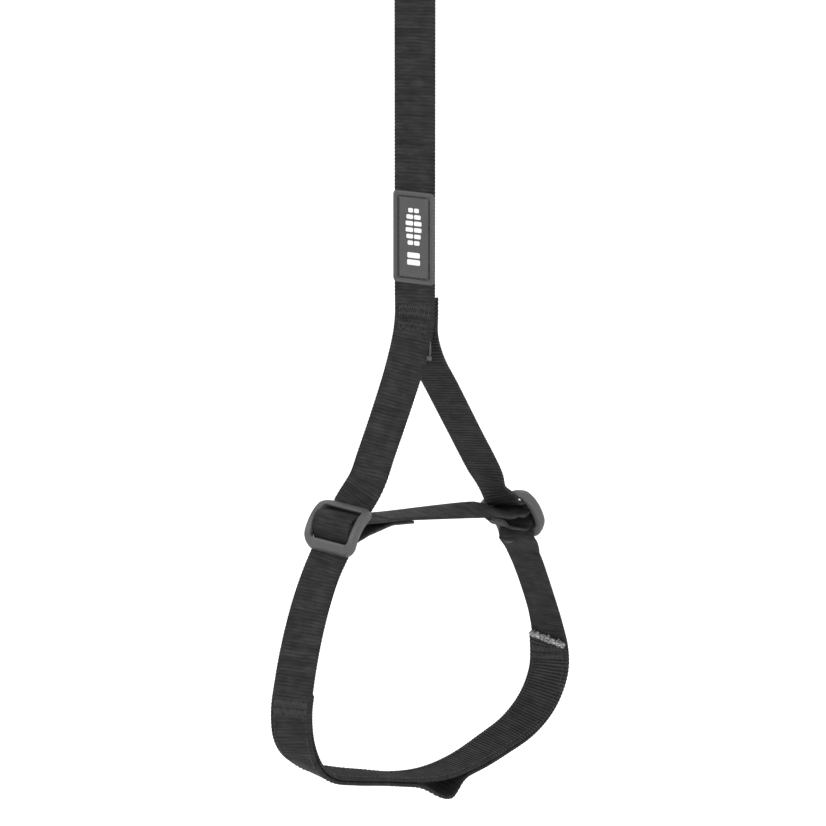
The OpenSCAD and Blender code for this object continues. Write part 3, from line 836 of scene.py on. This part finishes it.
add_keeper("left_keeper_band", 0, left_seam, ["left_slider"], "left_keeper_loop", frayed=(0,))
add_keeper("keeper_left_half", left_seam, keeper_middle, ["left_slider", "stirrup"], "keeper_strap")
add_keeper("keeper_right_half", keeper_middle, right_seam, ["stirrup", "right_slider"], "keeper_strap")
add_keeper("right_keeper_band", right_seam, keeper.along[-1], ["right_slider"], "right_keeper_loop",
           frayed=(-1,))
keeper_tack("left")
keeper_tack("right")

# ---------------------------------------------------------------- sliders

LOOP_POINTS, RAIL_POINTS, RAIL_SIDES, CENTRE_RINGS, CENTRE_SIDES = 72, 160, 28, 25, 20
SLIDER_HALF_W, SLIDER_CORNER = 11.9, 3.4  # to the middle of the side rails
RAIL_HALF_W, RAIL_HALF_D = 1.8, 2.9
BAR_WIDER, BAR_THINNER = 0.3, 0.8  # how the end bars differ from the side rails
SQUARENESS = 0.55
CENTRE_HALF, CENTRE_FLARE = 11.6, 0.35


def rounded_loop(half_w, half_h, corner, count):
    """Points round a rounded rectangle, equally many at each corner, with their outward directions."""
    straight_w, straight_h = half_w - corner, half_h - corner
    points, outs = [], []
    for quarter, (sx, sz) in enumerate(((1, 1), (-1, 1), (-1, -1), (1, -1))):
        for k in range(count // 4):
            angle = (quarter + k / (count // 4 - 1)) * math.pi / 2
            outs.append([math.cos(angle), math.sin(angle)])
            points.append([sx * straight_w + corner * outs[-1][0], sz * straight_h + corner * outs[-1][1]])
    return np.array(points), np.array(outs)


def resample(loop, outs, count):
    """The same closed loop with points at even distances."""
    closed = np.vstack([loop, loop[:1]])
    turned = np.vstack([outs, outs[:1]])
    gaps = np.linalg.norm(np.diff(closed, axis=0), axis=1)
    run = np.concatenate([[0], np.cumsum(gaps)])
    keep = np.concatenate([[True], gaps > 1e-9])
    want = np.linspace(0, run[-1], count, endpoint=False)
    columns, directions = ([np.interp(want, run[keep], values[keep, k]) for k in range(2)]
                           for values in (closed, turned))
    return np.stack(columns, 1), unit(np.stack(directions, 1))


def bowed(z):
    """How far a slider's frame stands out at a height: nothing at its bars and most at its middle."""
    return FRAME_BOW * np.clip(1 - (z / BAR_Z) ** 2, -0.5, 1)


def squared(value):
    """A sine or cosine that turns a circle into a rounded square."""
    return math.copysign(abs(value) ** SQUARENESS, value)


def slider_frame():
    """The curved outer frame, with wider and thinner end bars."""
    points = []
    loop, outs = resample(*rounded_loop(SLIDER_HALF_W, BAR_Z, SLIDER_CORNER, LOOP_POINTS), RAIL_POINTS)
    for (x, z), (ox, oz) in zip(loop, outs):
        half_w = RAIL_HALF_W + BAR_WIDER * abs(oz) ** 3
        half_d = RAIL_HALF_D - BAR_THINNER * abs(oz) ** 3
        for a in np.linspace(0, 2 * math.pi, RAIL_SIDES, endpoint=False):
            px, pz = x + ox * half_w * squared(math.cos(a)), z + oz * half_w * squared(math.cos(a))
            points.append([px, half_d * squared(math.sin(a)) - bowed(pz), pz])
    return points, tube_faces(RAIL_POINTS, RAIL_SIDES, closed=True)


def centre_bar():
    """The round centre bar, which flares into the side rails."""
    points = []
    for x in np.linspace(-CENTRE_HALF, CENTRE_HALF, CENTRE_RINGS):
        r = CENTRE_R * (1 + CENTRE_FLARE * (abs(x) / CENTRE_HALF) ** 6)
        for a in np.linspace(0, 2 * math.pi, CENTRE_SIDES, endpoint=False):
            points.append([x, -FRAME_BOW + r * math.cos(a), r * math.sin(a)])
    return points, tube_faces(CENTRE_RINGS, CENTRE_SIDES)


def add_slider(side):
    points, faces = merged([slider_frame(), centre_bar()])
    made = mesh_object(side + "_slider", in_slider(side, points), faces, PLASTIC, "slider_plastic")
    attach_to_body(made, side + "_slider")
    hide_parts(side + "_slider_frame")


add_slider("left")
add_slider("right")

# ---------------------------------------------------------------- label

LABEL_W, LABEL_H, LABEL_Z = 20.4, 44, -155
LABEL_CORNER = 2.2
LABEL_GAP = 0.05
LABEL_BASE_Y = TETHER_Y - STRAP_THICK / 2 - LABEL_GAP
LABEL_SKEW = -0.065  # the label sits a little askew on its strap
PLATE_POINTS, LEAST_CORNER = 96, 0.25

# How far in from its edge, and how high: a raised border, a groove with a floor, and the field
LABEL_PROFILE = [
    (0.5, 0.0), (0.15, 0.05), (0.0, 0.3), (0.0, 0.9), (0.12, 1.2), (0.35, 1.42), (0.7, 1.5), (1.1, 1.5),
    (1.35, 1.42), (1.5, 1.25), (1.62, 1.22), (1.75, 1.3), (1.95, 1.34), (2.1, 1.25), (2.2, 1.0),
    (2.25, 0.75), (2.35, 0.66), (2.85, 0.66), (2.95, 0.75), (3.02, 0.92), (3.15, 1.0), (3.4, 1.02),
]
PRINT_PROFILE = [(0.0, 0.98), (0.0, 1.12), (0.12, 1.2), (0.2, 1.22)]
GROOVE_INSET, GROOVE_THREAD = 2.6, 0.8  # the groove's middle, and how high its thread starts

LUG_CORNER, LUG_GAP = 0.6, 0.1
SOLE_TOP, SOLE_PITCH, LUG_HALF_H, CLEFT = 13.0, 3.1, 1.05, 0.15
SOLE_HALVES = (2.6, 3.5, 3.9, 3.9, 3.5, 2.9)  # the sole's half width at each row of two lugs
HEEL_TOP, HEEL_PITCH, HEEL_HALF_H = -8.4, 3.4, 1.3
HEEL_HALVES = (3.1, 3.2)


def on_label(points):
    """Points (x, up, out) on the label's own face, in millimetres."""
    return [[x * MM, (LABEL_BASE_Y - out) * MM, (LABEL_Z + up + LABEL_SKEW * x) * MM]
            for x, up, out in points]


def plate(profile, half_w, half_h, corner, centre=(0, 0)):
    """A rounded plate whose height follows a profile of (distance in from its edge, height)."""
    points = []
    for inset, height in profile:
        radius = max(corner - inset, LEAST_CORNER)
        loop, _ = rounded_loop(half_w - inset, half_h - inset, radius, PLATE_POINTS)
        points += [[centre[0] + x, centre[1] + up, height] for x, up in loop]
    return on_label(points), tube_faces(len(profile), PLATE_POINTS)


def add_plates(name, node, plates, material, slot):
    """Plates with flat tops on the label, as one piece."""
    made = mesh_object(name, *merged(plates), material, slot)
    for polygon in made.data.polygons:
        polygon.use_smooth = len(polygon.vertices) == 4
    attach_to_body(made, "label_strap")
    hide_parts(node)


def boot_print():
    """A boot sole's print: rows of short lugs in a tread shape, and a heel of two."""
    for row, half in enumerate(SOLE_HALVES):
        for side in (-1, 1):
            centre = (side * half / 2 + side * CLEFT, SOLE_TOP - row * SOLE_PITCH)
            yield plate(PRINT_PROFILE, half / 2 - LUG_GAP, LUG_HALF_H, LUG_CORNER, centre)
    for row, half in enumerate(HEEL_HALVES):
        yield plate(PRINT_PROFILE, half, HEEL_HALF_H, LUG_CORNER, (0, HEEL_TOP - row * HEEL_PITCH))


def label_stitches():
    """Stitches that lie in the label's groove."""
    half_w, half_h = LABEL_W / 2 - GROOVE_INSET, LABEL_H / 2 - GROOVE_INSET
    stitches = [((x, up), (x, up + 2.3)) for up in np.arange(-half_h + 0.6, half_h - 2.0, 2.9)
                for x in (-half_w, half_w)]
    stitches += [((x, up), (x + 2.1, up)) for x in np.arange(-half_w + 0.5, half_w - 1.6, 2.7)
                 for up in (-half_h, half_h)]
    lines = []
    for start, end in stitches:
        ends = np.array(on_label([(*start, GROOVE_THREAD), (*end, GROOVE_THREAD)]))
        lines.append(arched(*ends, np.array([0, -1, 0]), 0.12 * MM, 0.3 * MM))
    made = add_threads("label_seam", lines, radius=0.26 * MM)
    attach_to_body(made, "label_strap")
    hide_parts("label_stitching")


label = plate(LABEL_PROFILE, LABEL_W / 2, LABEL_H / 2, LABEL_CORNER)
add_plates("label_plate", "label_patch", [label], RUBBER, "label_rubber")
add_plates("label_print", "label_emblem", boot_print(), PRINT, "emblem_print")
label_stitches()

# ---------------------------------------------------------------- studio

FLOOR_HALF = 6
FLOOR_PROFILE = [(-4.0, -0.62), (1.2, -0.62), (1.9, -0.55), (2.4, -0.35), (2.7, 0.0), (2.8, 0.5), (2.8, 4.0)]


def add_floor():
    """A pale floor that curves up behind the object into a backdrop."""
    points = [(x, y, z) for y, z in FLOOR_PROFILE for x in (-FLOOR_HALF, FLOOR_HALF)]
    faces = [[2 * i, 2 * i + 1, 2 * i + 3, 2 * i + 2] for i in range(len(FLOOR_PROFILE) - 1)]
    mesh = bpy.data.meshes.new("floor")
    mesh.from_pydata(points, [], faces)
    mesh.polygons.foreach_set("use_smooth", np.ones(len(mesh.polygons), bool))
    mesh.materials.append(Shader("floor_paint", tone=0.93, roughness=0.9, specular=0.1).material)
    floor = bpy.data.objects.new("floor", mesh)
    bpy.context.scene.collection.objects.link(floor)


add_floor()
add_world(1.0)
add_light("key_light", (-1.3, -1.9, 1.5), size=1.4, power=46)
add_light("fill_light", (1.9, -1.6, 0.5), size=1.6, power=20)
add_light("rim_light", (0.6, 1.6, 1.3), size=1.2, power=22)
